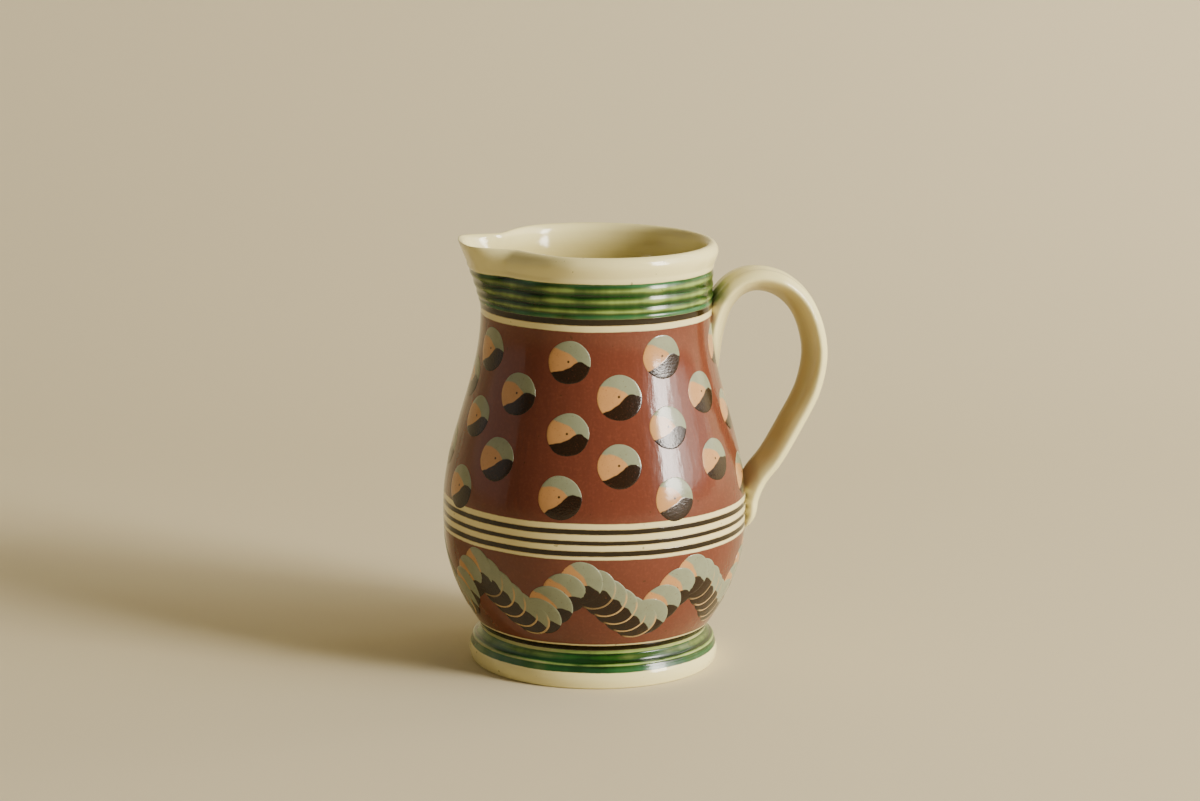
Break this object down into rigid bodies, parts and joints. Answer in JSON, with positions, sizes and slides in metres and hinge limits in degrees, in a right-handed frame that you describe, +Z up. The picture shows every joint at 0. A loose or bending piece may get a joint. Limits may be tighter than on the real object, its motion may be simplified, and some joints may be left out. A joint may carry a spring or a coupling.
{
  "type": "mochaware pitcher",
  "caption": "Small round-bellied earthenware pitcher with a pulled lip and strap handle, slip-banded with cat's-eye dots and a trailed wave.",
  "frame": {"origin": "on the axis of the turned body, in the middle of the flat underside", "axes": "+Z up along the body's axis, -X towards the lip, +X towards the handle"},
  "size_m": [0.1499, 0.1178, 0.166],
  "materials": {
    "glazed_earthenware": "clear glossy lead glaze over brown, cream and dark slips, green where it lies over the reeded bands"
  },
  "bodies": {
    "root": {"pitcher": "glazed_earthenware"}
  },
  "joints": []
}
